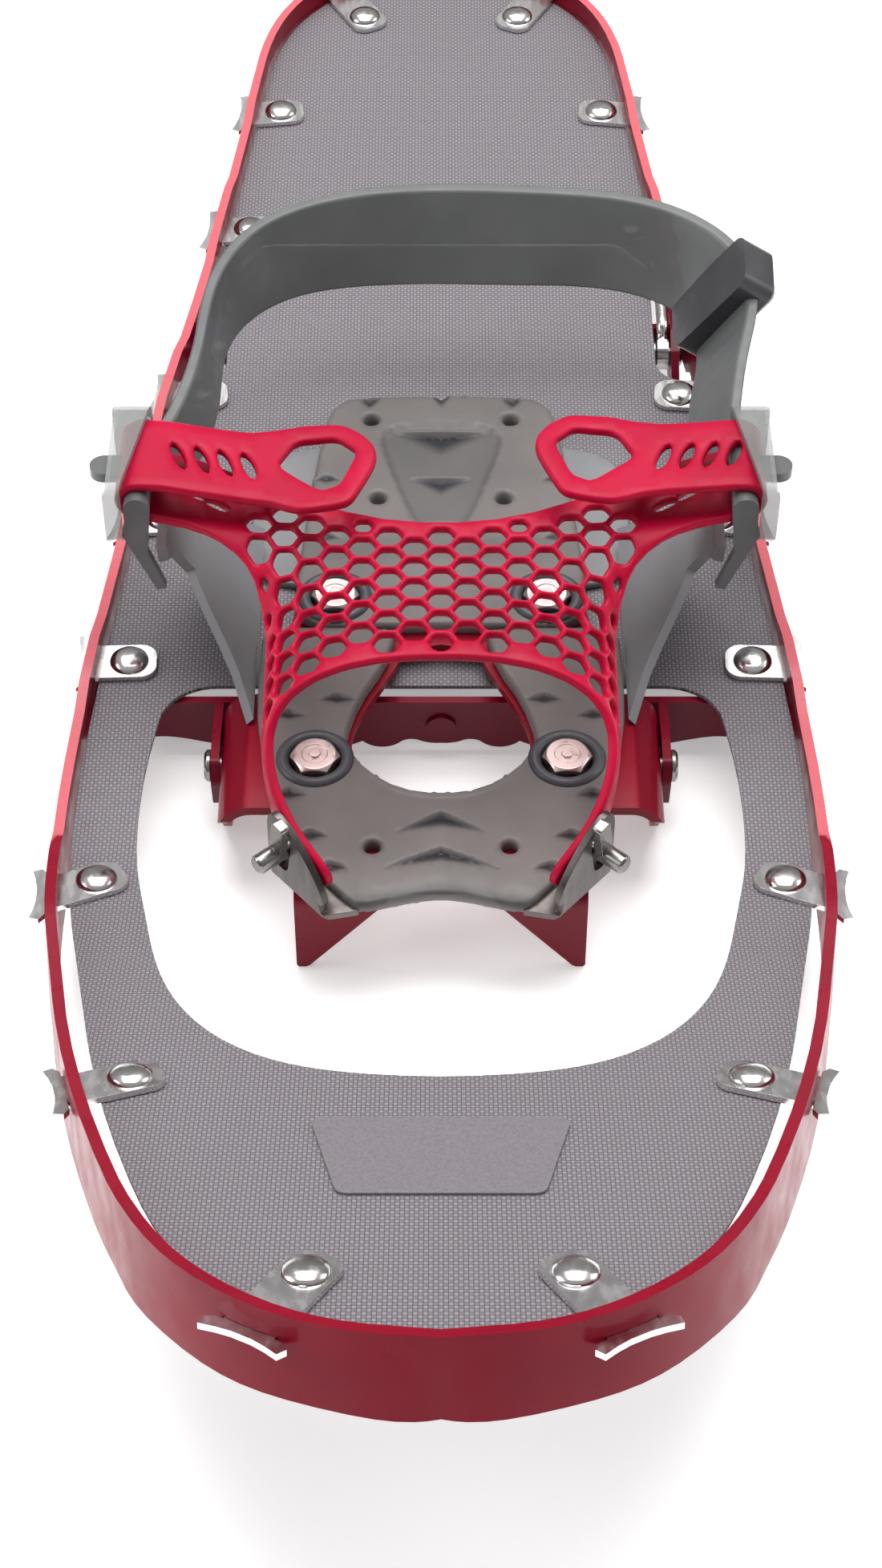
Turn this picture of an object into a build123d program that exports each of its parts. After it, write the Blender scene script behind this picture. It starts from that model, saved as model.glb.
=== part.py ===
from build123d import *
import os
from math import atan2, cos, degrees, hypot, radians, sin

# One snowshoe: blade frame, woven deck, two crossbars, a pivoting crampon and a strap binding.
# Millimetres. +X is across, +Y is towards the tail and +Z is up. The origin is on the ground
# at the middle of the length and width, and the crampon's points stand on the ground.

# ---- driving dimensions: frame and deck ----
HALF_LENGTH = 317.5
DECK_Z = 22.0            # mid plane of the deck sheet
DECK_T = 1.2
RAIL_T = 2.8
RAIL_UP = 8.0            # rail above the deck's mid plane
RAIL_DOWN = 12.0         # rail below it
TOE_START = -92.0        # the shoe turns up in front of this line
TOE_RADIUS = 150.0
TOE_TURN = radians(23)
TOE_SLOPE = (HALF_LENGTH - RAIL_DOWN * sin(TOE_TURN) + TOE_START - TOE_RADIUS * sin(TOE_TURN)) / cos(TOE_TURN)
TOE_TIP = TOE_START - TOE_RADIUS * TOE_TURN - TOE_SLOPE

# Outer face of the right-hand rail on the flat pattern, from the tail to the toe.
RAIL_OUTLINE = [
    (34, 306), (55, 280), (64.5, 235), (71.5, 170), (79.3, 110), (84.4, 77), (93.2, 10), (99, -50),
    (101.5, -105), (100, -141), (96, -168), (87.6, -214), (74.6, -261), (57, -299), (31, -321.5),
]
RAIL_STATIONS = 44
LOW_EDGES = [(-107, -62), (-24, 5), (40, 58), (100, 138), (184, 214)]    # lowered top edge
LOW_DEPTH = 2.2
LOW_RAMP = 10.0
TOOTH_PITCH = 16.0       # teeth along the rail's bottom edge
TOOTH_DEPTH = 3.5
TOOTH_FIRST = -76.0
TOOTH_COUNT = 20

# Deck clips on the right side: rivet across, rivet along, and the strap's turn towards the toe.
CLIPS = [
    (27.5, -298, 62), (71, -219, 24), (89, -122.5, 27), (86.8, -39, 2), (81, 20.4, 4),
    (72.8, 76.5, 5), (62, 160, 6), (54.5, 226, 8), (27, 284, -62),
]
CLIP_T = 1.5
CLIP_W = 12.6
CLIP_H = DECK_T / 2 + 0.3   # clip's underside above the deck's mid plane
CLIP_TAIL = 7.6          # strap behind the rivet's centre
HOOK_HALF = 10.5
HOOK_OUT = 4.2
DOME_R = 5.4
DOME_H = 2.4
SHANK_R = 2.5

# ---- driving dimensions: crossbars, crampon and binding ----
BLADE_T = 2.4            # plate of both crossbars and of the crampon
BAR_Y = -50.5
REAR_BAR_Y = 114.0
EAR_X = 61.2             # middle of the front crossbar's ears
FLANGE_X = 58.4          # middle of the crampon's side flanges
PIVOT_Y = -72.0
PIVOT_Z = 17.0
PIN_R = 3.0
PIN_PLAY = 0.05
PLATE_Z = 26.4           # underside of the crampon plate
PAD_Z = PLATE_Z + BLADE_T
PAD_T = 4.4
PAD_TOP = PAD_Z + PAD_T
FRONT_BOLT = (33.5, -84.5)
REAR_BOLT = (29.6, -22.5)
BOLT_R = 3.0
LIFTER_Y = 105.0
LIFTER_Z = 17.0
LIFTER_PIN_R = 2.5
LIFTER_ARM_X = 69.4
WIRE_R = 1.9
STRAP_T = 2.6
BRACKET_T = 2.0

os.makedirs("parts", exist_ok=True)


def finish(builder, label):
    """Name a finished sub-part and write its file."""
    builder.part.label = label
    export_step(builder.part, f"parts/{label}.step")


def bent(across, along, height):
    """Place a point of the flat pattern: the sheet turns up in front of TOE_START."""
    run = TOE_START - along
    turn = min(max(run / TOE_RADIUS, 0), TOE_TURN)
    straight = run - TOE_RADIUS * turn
    y = TOE_START - TOE_RADIUS * sin(turn) - straight * cos(turn) + height * sin(turn)
    z = DECK_Z + TOE_RADIUS * (1 - cos(turn)) + straight * sin(turn) + height * cos(turn)
    return Vector(across, y, z)


def sheet_plane(across, along, turn=0.0, height=0.0):
    """Plane on the sheet, with its x axis turned from +X towards the toe."""
    here = bent(across, along, height)
    outward = bent(across + 0.01 * cos(radians(turn)), along - 0.01 * sin(radians(turn)), height)
    return Plane(here, x_dir=outward - here, z_dir=bent(across, along, height + 1) - here)


def side_point(along, height):
    """A bent point, as a point of a sketch on Plane.YZ."""
    point = bent(0, along, height)
    return (point.Y, point.Z)


with BuildLine() as rail_plan:
    right_side = [(0, HALF_LENGTH), *RAIL_OUTLINE, (0, TOE_TIP)]
    left_side = [(-x, s) for x, s in reversed(RAIL_OUTLINE)]
    Spline(*right_side, *left_side, periodic=True)
RAIL_LINE = rail_plan.edges()[0]


def reach(across, along, turn):
    """Distance on the flat pattern from a point to the rail's outer face."""
    start = Vector(across, along)
    ray = Edge.make_line(start, start + Vector(cos(radians(turn)), -sin(radians(turn))) * 60)
    return (Vector(*RAIL_LINE.intersect(ray)[0]) - start).length


def rail_point(part, inset):
    """Flat-pattern point at a fraction of the way from tail to toe, moved in from the rail's outer face."""
    point = RAIL_LINE @ (part / 2)
    run = RAIL_LINE % (part / 2)
    return (point.X + inset * run.Y, point.Y - inset * run.X)


def wall_at(along):
    """Outer face of the right-hand rail at a place along the shoe."""
    return 50 + reach(50, along, 0)


def slab(points, plane, amount, **options):
    """Extrude a polygon given by its corners on a plane."""
    with BuildSketch(plane) as outline:
        with BuildLine():
            Polyline(*points, close=True)
        make_face()
    extrude(outline.sketch, amount=amount, **options)


def turned(profile, plane):
    """Turn a half profile, given as radius and height, about a plane's normal."""
    with BuildSketch(Plane(plane.origin, x_dir=plane.x_dir, z_dir=-plane.y_dir)) as half:
        with BuildLine():
            Polyline(*profile, close=True)
        make_face()
    revolve(half.sketch, axis=Axis(plane.origin, plane.z_dir))


def domed(radius, height, base, shank, foot):
    """Half profile of a rivet: a dome, its shank and a bucked foot."""
    dome = [(radius * cos(radians(a)), base + height * sin(radians(a))) for a in range(0, 90, 15)]
    return [(0, base + height), *reversed(dome), (shank, base), (shank, foot), (radius * 0.8, foot),
            (radius * 0.7, foot - 1.2), (0, foot - 1.2)]


TAB_T = 2.4              # end tabs of the crossbars, against the rail's inner face
TAB_LENGTH = 18.0

# ---- rivets that hold both crossbars' end tabs to the rail ----
with BuildPart() as crossbar_rivets:
    for bar_y, height in ((BAR_Y, 11.5), (REAR_BAR_Y, 12.5)):
        for setback in (4, 11.5):
            along = bar_y + setback
            lean = atan2(wall_at(along + 4) - wall_at(along - 4), 8)
            head = Plane((wall_at(along), along, height), x_dir=(0, 0, 1), z_dir=(cos(lean), -sin(lean), 0))
            inner = -RAIL_T - TAB_T - 0.1
            turned([(0, 1.4), (2.2, 1.2), (3.4, 0.5), (3.6, 0), (1.8, 0), (1.8, inner), (3.2, inner),
                    (2.8, inner - 1), (0, inner - 1)], head)
    mirror(about=Plane.YZ)
finish(crossbar_rivets, "crossbar_rivets")

# ---- frame rail ----
with BuildPart() as frame_rail:
    for step in range(RAIL_STATIONS + 1):
        place = (-0.01 + 0.52 * step / RAIL_STATIONS) % 1
        point = RAIL_LINE @ place
        run = RAIL_LINE % place
        here = bent(point.X, point.Y, 0)
        ahead = bent(point.X + 0.01 * run.X, point.Y + 0.01 * run.Y, 0)
        outward = bent(point.X - 0.01 * run.Y, point.Y + 0.01 * run.X, 0)
        with BuildSketch(Plane(here, x_dir=outward - here, z_dir=ahead - here)):
            with Locations((-RAIL_T / 2, (RAIL_UP - RAIL_DOWN) / 2)):
                Rectangle(RAIL_T, RAIL_UP + RAIL_DOWN)
    loft()
    split(bisect_by=Plane.YZ, keep=Keep.TOP)
    mirror(about=Plane.YZ)
    for front, rear in LOW_EDGES:
        cut = [
            side_point(front - LOW_RAMP, RAIL_UP), side_point(front, RAIL_UP - LOW_DEPTH),
            side_point(rear, RAIL_UP - LOW_DEPTH), side_point(rear + LOW_RAMP, RAIL_UP),
            side_point(rear + LOW_RAMP, RAIL_UP + 4), side_point(front - LOW_RAMP, RAIL_UP + 4),
        ]
        slab(cut, Plane.YZ, 120, both=True, mode=Mode.SUBTRACT)
    for tooth in range(TOOTH_COUNT):
        middle = TOOTH_FIRST + tooth * TOOTH_PITCH
        bottom = DECK_Z - RAIL_DOWN
        notch = [(middle - 5, bottom - 1), (middle - 2, bottom + TOOTH_DEPTH),
                 (middle + 2, bottom + TOOTH_DEPTH), (middle + 5, bottom - 1)]
        slab(notch, Plane.YZ, 120, both=True, mode=Mode.SUBTRACT)
    for across, along, turn in CLIPS:
        gap = reach(across, along, turn)
        with BuildSketch(sheet_plane(across, along, turn, DECK_T / 2 - 0.2)):
            with Locations((gap, 0)):
                Rectangle(16, CLIP_W + 0.8)
        extrude(amount=CLIP_T + 0.6, mode=Mode.SUBTRACT)
        with BuildSketch(sheet_plane(-across, along, 180 - turn, DECK_T / 2 - 0.2)):
            with Locations((gap, 0)):
                Rectangle(16, CLIP_W + 0.8)
        extrude(amount=CLIP_T + 0.6, mode=Mode.SUBTRACT)
    add(crossbar_rivets.part, mode=Mode.SUBTRACT)
finish(frame_rail, "frame_rail")

# ---- deck ----
PORT_X = 66.5            # inner edge of the side openings at the rear crossbar
DECK_GAP = 0.9           # between the sheet and the rail beside the binding
TOE_GAP = 4.6            # and all round the toe
OPENING_SIDE = [(80.2, -86), (80.4, -98), (79.6, -112), (75.6, -134), (66.5, -170), (54.5, -190), (39.7, -201.6)]
with BuildSketch(Plane.XY) as half_opening:
    with BuildLine():
        Line((0, -209), (0, -47))
        Line((0, -47), (62, -47))
        TangentArc((62, -47), (77.5, -62), tangent=(1, 0))
        Spline((77.5, -62), *OPENING_SIDE, (20, -207.5), (0, -209))
    make_face()
with BuildPart() as deck:
    with BuildSketch(Plane.XY):
        with BuildLine():
            edge = []
            for step in range(1, 33):
                flat_point = rail_point(step / 33, 0)
                toeward = min(max((TOE_START - flat_point[1]) / 70, 0), 1)
                across, along = rail_point(step / 33, RAIL_T + DECK_GAP + toeward * (TOE_GAP - DECK_GAP))
                edge.append((across, bent(0, along, 0).Y))
            tail_tip = (0, HALF_LENGTH - RAIL_T - DECK_GAP)
            toe_tip = (0, bent(0, rail_point(1, RAIL_T + TOE_GAP)[1], 0).Y)
            Spline(tail_tip, *edge, toe_tip)
            Line(toe_tip, tail_tip)
        make_face()
        add(half_opening.sketch, mode=Mode.SUBTRACT)
        mirror(about=Plane.YZ)
        with Locations((PORT_X + 20, 118), (-PORT_X - 20, 118)):
            RectangleRounded(40, 66, 9, mode=Mode.SUBTRACT)
    extrude(amount=140)
    with BuildSketch(Plane.YZ):
        with BuildLine():
            flat_end = side_point(TOE_START, 0)
            bend_end = side_point(TOE_START - TOE_RADIUS * TOE_TURN, 0)
            Line((HALF_LENGTH, DECK_Z), flat_end)
            TangentArc(flat_end, bend_end, tangent=(-1, 0))
            Line(bend_end, side_point(TOE_TIP - 10, 0))
        trace(line_width=DECK_T)
    extrude(amount=120, both=True, mode=Mode.INTERSECT)
    for across, along, turn in CLIPS:
        for side, facing in ((1, turn), (-1, 180 - turn)):
            with BuildSketch(sheet_plane(side * across, along, facing, -2)):
                Circle(SHANK_R)
            extrude(amount=4, mode=Mode.SUBTRACT)
finish(deck, "deck")

# ---- clips and their rivets ----
def hook_outline(gap, lean):
    """Corners of a clip's hook, which lies along the rail's outer face and is hollow outside."""
    half = [(0.3, HOOK_HALF - 2), (1.8, HOOK_HALF), (HOOK_OUT, HOOK_HALF - 0.8), (HOOK_OUT - 0.9, 6),
            (HOOK_OUT - 1.4, 2.5)]
    corners = [*half, *[(x, -y) for x, y in reversed(half)]]
    return [(gap + x * cos(lean) - y * sin(lean), x * sin(lean) + y * cos(lean)) for x, y in corners]


with BuildPart() as deck_clips:
    for across, along, turn in CLIPS:
        gap = reach(across, along, turn)
        nudge = Vector(sin(radians(turn)), cos(radians(turn))) * 3
        tail_gap = reach(across + nudge.X, along + nudge.Y, turn)
        toe_gap = reach(across - nudge.X, along - nudge.Y, turn)
        with BuildSketch(sheet_plane(across, along, turn, CLIP_H)) as clip:
            with Locations(((gap + 1 - CLIP_TAIL) / 2, 0)):
                Rectangle(gap + 1 + CLIP_TAIL, CLIP_W)
            fillet(clip.vertices().sort_by(Axis(clip.workplanes[0].origin, clip.workplanes[0].x_dir))[:2], 4.5)
            with BuildLine():
                Polyline(*hook_outline(gap, atan2(toe_gap - tail_gap, 6)), close=True)
            make_face()
            Circle(SHANK_R, mode=Mode.SUBTRACT)
        extrude(amount=CLIP_T)
    mirror(about=Plane.YZ)
finish(deck_clips, "deck_clips")


with BuildPart() as deck_rivets:
    for across, along, turn in CLIPS:
        turned(domed(DOME_R, DOME_H, CLIP_H + CLIP_T, SHANK_R, -DECK_T / 2), sheet_plane(across, along, turn))
    mirror(about=Plane.YZ)
finish(deck_rivets, "deck_rivets")

# ---- front crossbar: blade, forward ears and end tabs on the rail ----
def end_tab(bar_y, low, high):
    """Tab that lies against the rail's inner face behind a crossbar's end."""
    middle = bar_y + TAB_LENGTH / 2 - 1
    lean = degrees(atan2(wall_at(middle + 5) - wall_at(middle - 5), 10))
    with BuildSketch(Plane.XY.offset(low)) as tab:
        with Locations(Location((wall_at(middle) - RAIL_T - TAB_T / 2 - 0.1, middle), -lean)):
            Rectangle(TAB_T, TAB_LENGTH)
    extrude(tab.sketch, amount=high - low)


with BuildPart() as front_crossbar:
    with BuildSketch(Plane.XZ.offset(-BAR_Y - BLADE_T / 2)):
        with BuildLine():
            wall = wall_at(BAR_Y) - RAIL_T - 1.5
            Polyline((0, 4.6), (0, 20.8), (70, 20.8))
            Spline((70, 20.8), (80, 19.2), (wall, 17.6), tangents=[(1, 0), (1, 0)])
            Line((wall, 17.6), (wall, 5.5))
            Spline((wall, 5.5), (76, 7.2), (60, 3.6), (50, 3.4), tangents=[(-1, 0), (-1, 0)])
            Polyline((50, 3.4), (26, 3.4))
            Line((26, 3.4), (22, 5.4))
            ThreePointArc((22, 5.4), (16.5, 3.0), (11, 5.4))
            ThreePointArc((11, 5.4), (8.5, 6.2), (5.5, 5.4))
            ThreePointArc((5.5, 5.4), (3, 4.7), (0, 4.6))
        make_face()
        mirror(about=Plane.YZ)
    extrude(amount=BLADE_T)
    ear = [(BAR_Y, 3.2), (BAR_Y, 20.8), (PIVOT_Y + 4, 23.4), (PIVOT_Y - 4, 22.6), (PIVOT_Y - 7, 17),
           (PIVOT_Y - 5, 7), (PIVOT_Y + 1, 4.2)]
    slab(ear, Plane.YZ.offset(EAR_X - BLADE_T / 2), BLADE_T)
    slab(ear, Plane.YZ.offset(-EAR_X - BLADE_T / 2), BLADE_T)
    fillet(front_crossbar.edges().filter_by(Axis.X).filter_by_position(Axis.Y, PIVOT_Y - 8, PIVOT_Y + 5), 2.4)
    end_tab(BAR_Y, 6.2, 17.2)
    mirror(about=Plane.YZ)
    with Locations(Location((0, BAR_Y - BLADE_T / 2, 11.5), (90, 0, 0))):
        Cylinder(4.2, 2.2)
    with Locations(Location((0, PIVOT_Y, PIVOT_Z), (0, 90, 0))):
        Cylinder(PIN_R + PIN_PLAY, 200, mode=Mode.SUBTRACT)
    add(crossbar_rivets.part, mode=Mode.SUBTRACT)
finish(front_crossbar, "front_crossbar")

# ---- rear crossbar: toothed blade, and brackets in the deck's side openings ----
LIFTER_EAR_X = 72.9
REAR_TEETH = 9
with BuildPart() as rear_crossbar:
    with BuildSketch(Plane.XZ.offset(-REAR_BAR_Y - BLADE_T / 2)):
        with BuildLine():
            wall = wall_at(REAR_BAR_Y) - RAIL_T - 1.2
            pitch = 120 / REAR_TEETH
            teeth = [(-wall, 20.8), (-wall, 6)]
            for tooth in range(REAR_TEETH):
                left = -60 + tooth * pitch
                teeth += [(left + 0.5, 6), (left + pitch * 0.38, 0), (left + pitch * 0.62, 0), (left + pitch - 0.5, 6)]
            Polyline(*teeth, (wall, 6), (wall, 20.8), close=True)
        make_face()
    extrude(amount=BLADE_T)
    bracket = [(REAR_BAR_Y, 8), (REAR_BAR_Y, 23.5), (LIFTER_Y + 2, 25), (LIFTER_Y - 6, 23), (LIFTER_Y - 16, 15),
               (LIFTER_Y - 18, 9), (LIFTER_Y - 10, 7)]
    for side in (-1, 1):
        slab(bracket, Plane.YZ.offset(side * LIFTER_EAR_X - BLADE_T / 2), BLADE_T)
    fillet(rear_crossbar.edges().filter_by(Axis.X).filter_by_position(Axis.Y, LIFTER_Y - 19, LIFTER_Y + 4), 2.5)
    end_tab(REAR_BAR_Y, 6.5, 19)
    mirror(about=Plane.YZ)
    with Locations(Location((0, LIFTER_Y, LIFTER_Z), (0, 90, 0))):
        Cylinder(LIFTER_PIN_R, 200, mode=Mode.SUBTRACT)
    add(crossbar_rivets.part, mode=Mode.SUBTRACT)
finish(rear_crossbar, "rear_crossbar")

# ---- crampon: plate, side flanges with their teeth, and front points ----
def snow_port(grow):
    """Central opening through the pads and the crampon plate, grown by a margin."""
    with BuildSketch(Plane.XY) as port:
        with BuildLine():
            Line((0, -95 - grow), (0, -37 + grow))
            Line((0, -37 + grow), (11 + grow, -39 + grow))
            Spline((11 + grow, -39 + grow), (13.5 + grow, -48), (20.5 + grow, -62), (24 + grow, -76),
                   (19.5 + grow, -86.5 - grow), (11, -93 - grow), (0, -95 - grow), tangents=[(0, -1), (-1, 0)])
        make_face()
        mirror(about=Plane.YZ)
    return port.sketch


def bent_strip(points, plane, radius, width):
    """Plate folded along a line of points on a plane, extruded to both sides of it."""
    with BuildSketch(plane) as fold:
        with BuildLine():
            FilletPolyline(*points, radius=radius)
        trace(line_width=BLADE_T)
    extrude(fold.sketch, amount=width / 2, both=True)


PLATE_MID = PLATE_Z + BLADE_T / 2
with BuildPart() as flanges:
    bent_strip([(-FLANGE_X, 0.6), (-FLANGE_X, PLATE_MID), (FLANGE_X, PLATE_MID), (FLANGE_X, 0.6)],
               Plane.XZ.offset(-PIVOT_Y + 5), 8.0, 46)
    tooth = [(-98, 30), (-99, 24), (-94, 18), (-86, 12), (-81, 2.4), (-78, 0.8), (-74.5, 2.2), (-64, 8),
             (-58, 16), (-56, 30)]
    slab(tooth, Plane.YZ, 70, both=True, mode=Mode.INTERSECT)
with BuildPart() as front_points:
    bent_strip([(-60, PLATE_MID), (-126.4, PLATE_MID), (-127.4, 0)], Plane.YZ, 5.0, 76)
    point = [(12.5, PLATE_MID - 1), (34.5, 0.6), (35.6, 0), (37.4, 0), (38, 0.8), (38, 40), (-38, 40),
             (-38, 0.8), (-37.4, 0), (-35.6, 0), (-34.5, 0.6), (-12.5, PLATE_MID - 1)]
    slab(point, Plane.XZ.offset(50), 100, mode=Mode.INTERSECT)
with BuildPart() as crampon:
    add(flanges.part)
    add(front_points.part)
    plate = [(-38, -100), (38, -100), (46, -90), (46, -56), (42, -30), (39, -13), (-39, -13), (-42, -30),
             (-46, -56), (-46, -90)]
    slab(plate, Plane.XY.offset(PLATE_Z), BLADE_T)
    extrude(snow_port(0), amount=60, mode=Mode.SUBTRACT)
    with Locations(Location((0, PIVOT_Y, PIVOT_Z), (0, 90, 0))):
        Cylinder(PIN_R, 200, mode=Mode.SUBTRACT)
    with Locations(*[(side * x, y, PLATE_Z + 1) for x, y in (FRONT_BOLT, REAR_BOLT) for side in (-1, 1)]):
        Cylinder(BOLT_R, 20, mode=Mode.SUBTRACT)
finish(crampon, "crampon")

# ---- pivot pins, fixed in the crampon and free in the crossbar's ears ----
with BuildPart() as pivot_pins:
    inner = FLANGE_X - BLADE_T / 2
    outer = EAR_X + BLADE_T / 2 + 0.3
    turned([(0, inner - 1.8), (3.6, inner - 1.8), (4.0, inner - 1.0), (3.3, inner), (PIN_R, inner),
            (PIN_R, outer), (4.4, outer), (4.4, outer + 1), (3.6, outer + 1.7), (0, outer + 1.7)],
           Plane((0, PIVOT_Y, PIVOT_Z), x_dir=(0, 1, 0), z_dir=(1, 0, 0)))
    mirror(about=Plane.YZ)
finish(pivot_pins, "pivot_pins")

# ---- toe brackets: a foot under the pad, held by the front bolt, and a slotted upright ----
FOLD_OUT = (43.5, -121.5)
FOLD_IN = (30.0, -137.0)
FOLD_RUN = Vector(FOLD_OUT[0] - FOLD_IN[0], FOLD_OUT[1] - FOLD_IN[1], 0).normalized()
FOLD_LENGTH = hypot(FOLD_OUT[0] - FOLD_IN[0], FOLD_OUT[1] - FOLD_IN[1])
UPRIGHT = Plane((*FOLD_IN, PAD_Z), x_dir=FOLD_RUN, z_dir=(FOLD_RUN.Y, -FOLD_RUN.X, 0))
FOOT = [FOLD_OUT, FOLD_IN, (21, -135.2), (26, -94), (27.5, -79), (39.5, -79), (42, -94)]
TOE_PIN = (15.5, 14.2)   # on the upright: along the fold, and above it
TOE_PIN_R = 2.6
SLOT_HALF = 8.0
with BuildPart() as toe_bracket_right:
    slab(FOOT, Plane.XY.offset(PAD_Z), BRACKET_T)
    with BuildSketch(UPRIGHT):
        with BuildLine():
            Polyline((2, 5), (0, 0), (FOLD_LENGTH, 0), (21.5, 4), (21.5, 19))
            Spline((21.5, 19), (19, 24.4), (13.5, 23), (2, 5))
        make_face()
        with Locations(Location(TOE_PIN, 100)):
            SlotOverall(2 * SLOT_HALF, 2 * TOE_PIN_R + 0.2, mode=Mode.SUBTRACT)
    extrude(amount=-BRACKET_T)
    chamfer(toe_bracket_right.edges().filter_by(Axis((0, 0, 0), FOLD_RUN)).sort_by(Axis.Z)[0], 1.2)
    with Locations((*FRONT_BOLT, PAD_Z)):
        Cylinder(BOLT_R, 10, mode=Mode.SUBTRACT)
finish(toe_bracket_right, "toe_bracket_right")
with BuildPart() as toe_bracket_left:
    add(mirror(toe_bracket_right.part, about=Plane.YZ, mode=Mode.PRIVATE))
finish(toe_bracket_left, "toe_bracket_left")

# ---- toe pins: collar, shank through the slot, and a flat key outside ----
with BuildPart() as toe_pin_right:
    seat = Plane(UPRIGHT.from_local_coords((*TOE_PIN, 0)), x_dir=UPRIGHT.x_dir, z_dir=UPRIGHT.z_dir)
    turned([(0, -BRACKET_T - 2.1), (4.0, -BRACKET_T - 2.1), (4.4, -BRACKET_T - 1.7), (4.4, -BRACKET_T - 0.3),
            (TOE_PIN_R, -BRACKET_T - 0.3), (TOE_PIN_R, 8), (TOE_PIN_R - 0.6, 8.6), (0, 8.6)], seat)
    with BuildSketch(seat.offset(0.4)):
        with Locations(Location((0, 0), 100)):
            with Locations((5.2, 0)):
                RectangleRounded(14.5, 4.2, 0.9)
    extrude(amount=2.6)
finish(toe_pin_right, "toe_pin_right")
with BuildPart() as toe_pin_left:
    add(mirror(toe_pin_right.part, about=Plane.YZ, mode=Mode.PRIVATE))
finish(toe_pin_left, "toe_pin_left")

# ---- forefoot pad, with the brackets' feet let into its underside ----
RING_R = 9.4
WELL_R = 7.2
WELL_Z = PAD_Z + 2.4
with BuildPart() as forefoot_pad:
    with BuildSketch(Plane.XY.offset(PAD_Z)):
        with BuildLine():
            Polyline((0, -34), (0, -131), (13, -133), (21.5, -135.4), (36.5, -119.5), (42, -110), (45, -94),
                     (49.4, -74), (50.2, -54), (49.4, -34), close=True)
        make_face()
        mirror(about=Plane.YZ)
        add(snow_port(1.6), mode=Mode.SUBTRACT)
    extrude(amount=PAD_T)
    with BuildSketch(Plane.XY.offset(PAD_TOP - 1)):
        with Locations(FRONT_BOLT, (-FRONT_BOLT[0], FRONT_BOLT[1])):
            Circle(RING_R)
    extrude(amount=1.9)
    slab(FOOT, Plane.XY.offset(PAD_Z), BRACKET_T, mode=Mode.SUBTRACT)
    slab([(-x, y) for x, y in FOOT], Plane.XY.offset(PAD_Z), BRACKET_T, mode=Mode.SUBTRACT)
    for side in (-1, 1):
        with Locations((side * FRONT_BOLT[0], FRONT_BOLT[1], WELL_Z)):
            Cylinder(WELL_R, 20, align=(Align.CENTER, Align.CENTER, Align.MIN), mode=Mode.SUBTRACT)
        with Locations((side * FRONT_BOLT[0], FRONT_BOLT[1], PAD_Z)):
            Cylinder(BOLT_R, 20, mode=Mode.SUBTRACT)
finish(forefoot_pad, "forefoot_pad")

# ---- heel pad: a tongue on the crampon plate, and a thick body over the deck ----
HEEL_TOP = 31.6
with BuildPart() as heel_pad:
    side = [(0, -33.6), (40, -33.6), (41, -14), (38, 26), (33.5, 56), (28.5, 64), (0, 64.6)]
    slab([*side, *[(-x, y) for x, y in reversed(side[1:-1])]], Plane.XY.offset(DECK_Z + 1), 12)
    sheet = [(-52, -12), (52, -12), (55, 10), (55, 36), (50, 47), (34, 52), (-34, 52), (-50, 47), (-55, 36), (-55, 10)]
    slab(sheet, Plane.XY.offset(DECK_Z + 1), 2.4)
    slab([(-34, 0), (-34, PAD_Z), (-12, PAD_Z), (-12, 0)], Plane.YZ, 60, both=True, mode=Mode.SUBTRACT)
    slab([(-34, PAD_TOP), (-8, PAD_TOP), (4, HEEL_TOP), (70, HEEL_TOP), (70, 50), (-34, 50)], Plane.YZ, 60,
         both=True, mode=Mode.SUBTRACT)
    extrude(snow_port(1.6), amount=60, mode=Mode.SUBTRACT)
    for side in (-1, 1):
        with Locations((side * REAR_BOLT[0], REAR_BOLT[1], WELL_Z)):
            Cylinder(WELL_R, 20, align=(Align.CENTER, Align.CENTER, Align.MIN), mode=Mode.SUBTRACT)
        with Locations((side * REAR_BOLT[0], REAR_BOLT[1], PAD_Z)):
            Cylinder(BOLT_R, 20, mode=Mode.SUBTRACT)
finish(heel_pad, "heel_pad")

# ---- bolts and nuts that clamp pads, brackets and crampon ----
BOLT_SPOTS = [(side * x, y) for x, y in (FRONT_BOLT, REAR_BOLT) for side in (-1, 1)]
NUT_T = 2.8
with BuildPart() as pad_bolts:
    with BuildSketch(Plane.XY.offset(WELL_Z)):
        with Locations(*BOLT_SPOTS):
            RegularPolygon(5.9, 6, major_radius=False)
    extrude(amount=4.0)
    for spot in BOLT_SPOTS:
        with BuildSketch(Plane((*spot, 0), x_dir=(1, 0, 0), z_dir=(0, -1, 0))) as chamfer_cut:
            with BuildLine():
                Polyline((5.4, WELL_Z + 4.1), (7.4, WELL_Z + 2.4), (7.4, WELL_Z + 5), (5.4, WELL_Z + 5), close=True)
            make_face()
        revolve(chamfer_cut.sketch, axis=Axis((*spot, 0), (0, 0, 1)), mode=Mode.SUBTRACT)
        with Locations((*spot, WELL_Z + 4)):
            Cylinder(3.4, 0.7, mode=Mode.SUBTRACT)
            Cylinder(1.5, 0.9)
        with Locations((*spot, PLATE_Z - NUT_T)):
            Cylinder(BOLT_R, WELL_Z - PLATE_Z + NUT_T + 0.5, align=(Align.CENTER, Align.CENTER, Align.MIN))
finish(pad_bolts, "pad_bolts")
with BuildPart() as pad_nuts:
    with BuildSketch(Plane.XY.offset(PLATE_Z - NUT_T)):
        with Locations(*BOLT_SPOTS):
            RegularPolygon(5.0, 6, major_radius=False)
            Circle(BOLT_R, mode=Mode.SUBTRACT)
    extrude(amount=NUT_T)
finish(pad_nuts, "pad_nuts")

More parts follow.
